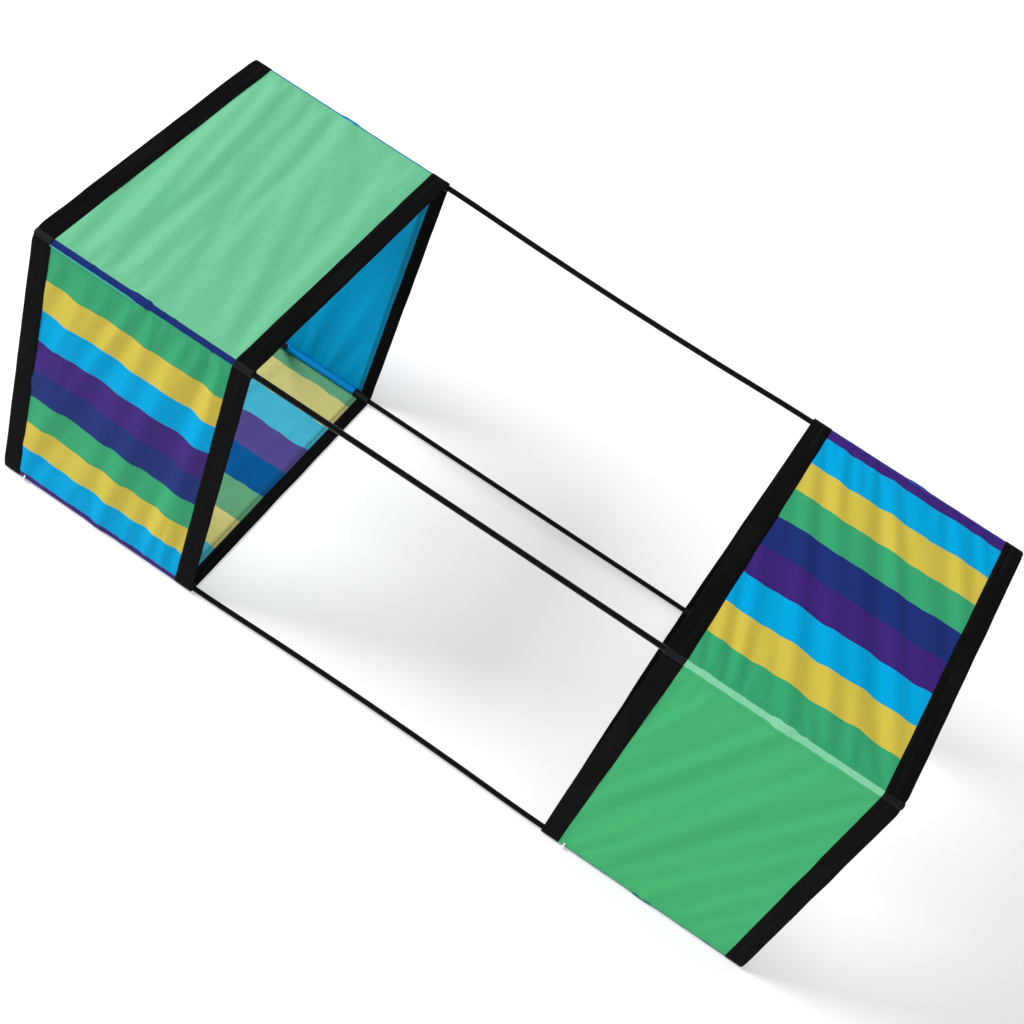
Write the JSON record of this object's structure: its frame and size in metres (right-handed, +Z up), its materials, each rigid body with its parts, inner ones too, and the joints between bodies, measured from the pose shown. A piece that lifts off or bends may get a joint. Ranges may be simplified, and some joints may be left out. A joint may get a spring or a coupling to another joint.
{
  "type": "box kite",
  "caption": "Square two-cell box kite: longerons carry two open fabric cells, and snap-in spreaders on hubs swing away so the frame folds flat.",
  "frame": {"origin": "under the middle of the kite, on the plane of the bottom panels", "axes": "+X along the kite, from the tow-line cell towards the tail cell; +Z up; +Y across, towards the back side"},
  "size_m": [1.016, 0.3916, 0.3916],
  "materials": {
    "longeron_rod": "satin black pultruded glass-fibre rod",
    "spreader_rod": "satin black pultruded glass-fibre rod",
    "cap_rubber": "black soft vinyl",
    "hem_fabric": "black woven polyester binding",
    "sleeve_fabric": "printed ripstop polyester",
    "fitting_plastic": "black moulded nylon",
    "pin_metal": "plain steel",
    "tie_cord": "white braided cord",
    "mint_fabric": "mint green printed ripstop polyester",
    "green_fabric": "green printed ripstop polyester",
    "cyan_fabric": "cyan printed ripstop polyester",
    "striped_fabric": "ripstop polyester printed with green, yellow, cyan, purple and navy stripes"
  },
  "bodies": {
    "bottom_side": {"hems_bottom": "hem_fabric", "tow_panel_bottom": "striped_fabric", "tail_panel_bottom": "cyan_fabric"},
    "front_side": {"hems_front": "hem_fabric", "tow_panel_front": "striped_fabric", "tail_panel_front": "green_fabric"},
    "top_side": {"hems_top": "hem_fabric", "tow_panel_top": "mint_fabric", "tail_panel_top": "striped_fabric"},
    "back_side": {"hems_back": "hem_fabric", "tow_panel_back": "cyan_fabric", "tail_panel_back": "striped_fabric"},
    "front_low_corner": {"longeron_front_low": "longeron_rod", "end_caps_front_low": "cap_rubber", "corner_pockets_front_low": "hem_fabric", "inner_corner_wraps_front_low": "hem_fabric", "sleeves_front_low": "sleeve_fabric", "spreader_fittings_front_low": "fitting_plastic", "pivot_pins_front_low": "pin_metal", "bridle_ties": "tie_cord"},
    "front_high_corner": {"longeron_front_high": "longeron_rod", "end_caps_front_high": "cap_rubber", "corner_pockets_front_high": "hem_fabric", "inner_corner_wraps_front_high": "hem_fabric", "sleeves_front_high": "sleeve_fabric", "spreader_fittings_front_high": "fitting_plastic", "pivot_pins_front_high": "pin_metal"},
    "back_high_corner": {"longeron_back_high": "longeron_rod", "end_caps_back_high": "cap_rubber", "corner_pockets_back_high": "hem_fabric", "inner_corner_wraps_back_high": "hem_fabric", "sleeves_back_high": "sleeve_fabric", "spreader_fittings_back_high": "fitting_plastic", "pivot_pins_back_high": "pin_metal"},
    "back_low_corner": {"longeron_back_low": "longeron_rod", "end_caps_back_low": "cap_rubber", "corner_pockets_back_low": "hem_fabric", "inner_corner_wraps_back_low": "hem_fabric", "sleeves_back_low": "sleeve_fabric", "spreader_fittings_back_low": "fitting_plastic", "pivot_pins_back_low": "pin_metal"},
    "tow_front_low_spreader": {"tow_spreader_rod_front_low": "spreader_rod", "tow_spreader_eye_front_low": "fitting_plastic"},
    "tow_front_high_spreader": {"tow_spreader_rod_front_high": "spreader_rod", "tow_spreader_eye_front_high": "fitting_plastic"},
    "tow_back_high_spreader": {"tow_spreader_rod_back_high": "spreader_rod", "tow_spreader_eye_back_high": "fitting_plastic", "tow_hub": "fitting_plastic"},
    "tow_back_low_spreader": {"tow_spreader_rod_back_low": "spreader_rod", "tow_spreader_eye_back_low": "fitting_plastic"},
    "tail_front_low_spreader": {"tail_spreader_rod_front_low": "spreader_rod", "tail_spreader_eye_front_low": "fitting_plastic"},
    "tail_front_high_spreader": {"tail_spreader_rod_front_high": "spreader_rod", "tail_spreader_eye_front_high": "fitting_plastic"},
    "tail_back_high_spreader": {"tail_spreader_rod_back_high": "spreader_rod", "tail_spreader_eye_back_high": "fitting_plastic", "tail_hub": "fitting_plastic"},
    "tail_back_low_spreader": {"tail_spreader_rod_back_low": "spreader_rod", "tail_spreader_eye_back_low": "fitting_plastic"}
  },
  "joints": [
    {"name": "frame_fold", "type": "hinge", "parent": "bottom_side", "child": "front_low_corner", "pos_m": [0, -0.1905, 0.0053], "axis": [1, 0, 0], "range_deg": [0, 40]},
    {"name": "front_side_hinge", "type": "hinge", "parent": "front_low_corner", "child": "front_side", "pos_m": [0, -0.1905, 0.0053], "axis": [1, 0, 0], "range_deg": [0, 40]},
    {"name": "front_high_corner_hinge", "type": "hinge", "parent": "front_side", "child": "front_high_corner", "pos_m": [0, -0.1905, 0.3863], "axis": [-1, 0, 0], "range_deg": [0, 40]},
    {"name": "top_side_hinge", "type": "hinge", "parent": "front_high_corner", "child": "top_side", "pos_m": [0, -0.1905, 0.3863], "axis": [-1, 0, 0], "range_deg": [0, 40]},
    {"name": "back_low_corner_hinge", "type": "hinge", "parent": "bottom_side", "child": "back_low_corner", "pos_m": [0, 0.1905, 0.0053], "axis": [1, 0, 0], "range_deg": [0, 40]},
    {"name": "back_side_hinge", "type": "hinge", "parent": "back_low_corner", "child": "back_side", "pos_m": [0, 0.1905, 0.0053], "axis": [1, 0, 0], "range_deg": [0, 40]},
    {"name": "back_high_corner_hinge", "type": "hinge", "parent": "back_side", "child": "back_high_corner", "pos_m": [0, 0.1905, 0.3863], "axis": [-1, 0, 0], "range_deg": [0, 40]},
    {"name": "tow_front_low_spreader_hinge", "type": "hinge", "parent": "front_low_corner", "child": "tow_front_low_spreader", "pos_m": [-0.3745, -0.1817, 0.0141], "axis": [0, 0.7071, -0.7071], "range_deg": [0, 88]},
    {"name": "tow_front_high_spreader_hinge", "type": "hinge", "parent": "front_high_corner", "child": "tow_front_high_spreader", "pos_m": [-0.3745, -0.1817, 0.3775], "axis": [0, -0.7071, -0.7071], "range_deg": [0, 88]},
    {"name": "tow_back_high_spreader_hinge", "type": "hinge", "parent": "back_high_corner", "child": "tow_back_high_spreader", "pos_m": [-0.3745, 0.1817, 0.3775], "axis": [0, 0.7071, -0.7071], "range_deg": [0, 88]},
    {"name": "tow_back_low_spreader_hinge", "type": "hinge", "parent": "back_low_corner", "child": "tow_back_low_spreader", "pos_m": [-0.3745, 0.1817, 0.0141], "axis": [0, 0.7071, 0.7071], "range_deg": [0, 88]},
    {"name": "tail_front_low_spreader_hinge", "type": "hinge", "parent": "front_low_corner", "child": "tail_front_low_spreader", "pos_m": [0.3745, -0.1817, 0.0141], "axis": [0, -0.7071, 0.7071], "range_deg": [0, 88]},
    {"name": "tail_front_high_spreader_hinge", "type": "hinge", "parent": "front_high_corner", "child": "tail_front_high_spreader", "pos_m": [0.3745, -0.1817, 0.3775], "axis": [0, 0.7071, 0.7071], "range_deg": [0, 88]},
    {"name": "tail_back_high_spreader_hinge", "type": "hinge", "parent": "back_high_corner", "child": "tail_back_high_spreader", "pos_m": [0.3745, 0.1817, 0.3775], "axis": [0, -0.7071, 0.7071], "range_deg": [0, 88]},
    {"name": "tail_back_low_spreader_hinge", "type": "hinge", "parent": "back_low_corner", "child": "tail_back_low_spreader", "pos_m": [0.3745, 0.1817, 0.0141], "axis": [0, -0.7071, -0.7071], "range_deg": [0, 88]}
  ],
  "couplings": [
    {"joint": "front_side_hinge", "follows": "frame_fold", "ratio": 1},
    {"joint": "front_high_corner_hinge", "follows": "frame_fold", "ratio": 1},
    {"joint": "top_side_hinge", "follows": "frame_fold", "ratio": 1},
    {"joint": "back_low_corner_hinge", "follows": "frame_fold", "ratio": 1},
    {"joint": "back_side_hinge", "follows": "frame_fold", "ratio": 1},
    {"joint": "back_high_corner_hinge", "follows": "frame_fold", "ratio": 1},
    {"joint": "tow_front_low_spreader_hinge", "follows": "frame_fold", "ratio": 2.2},
    {"joint": "tow_front_high_spreader_hinge", "follows": "frame_fold", "ratio": 2.2},
    {"joint": "tow_back_high_spreader_hinge", "follows": "frame_fold", "ratio": 2.2},
    {"joint": "tow_back_low_spreader_hinge", "follows": "frame_fold", "ratio": 2.2},
    {"joint": "tail_front_low_spreader_hinge", "follows": "frame_fold", "ratio": 2.2},
    {"joint": "tail_front_high_spreader_hinge", "follows": "frame_fold", "ratio": 2.2},
    {"joint": "tail_back_high_spreader_hinge", "follows": "frame_fold", "ratio": 2.2},
    {"joint": "tail_back_low_spreader_hinge", "follows": "frame_fold", "ratio": 2.2}
  ]
}
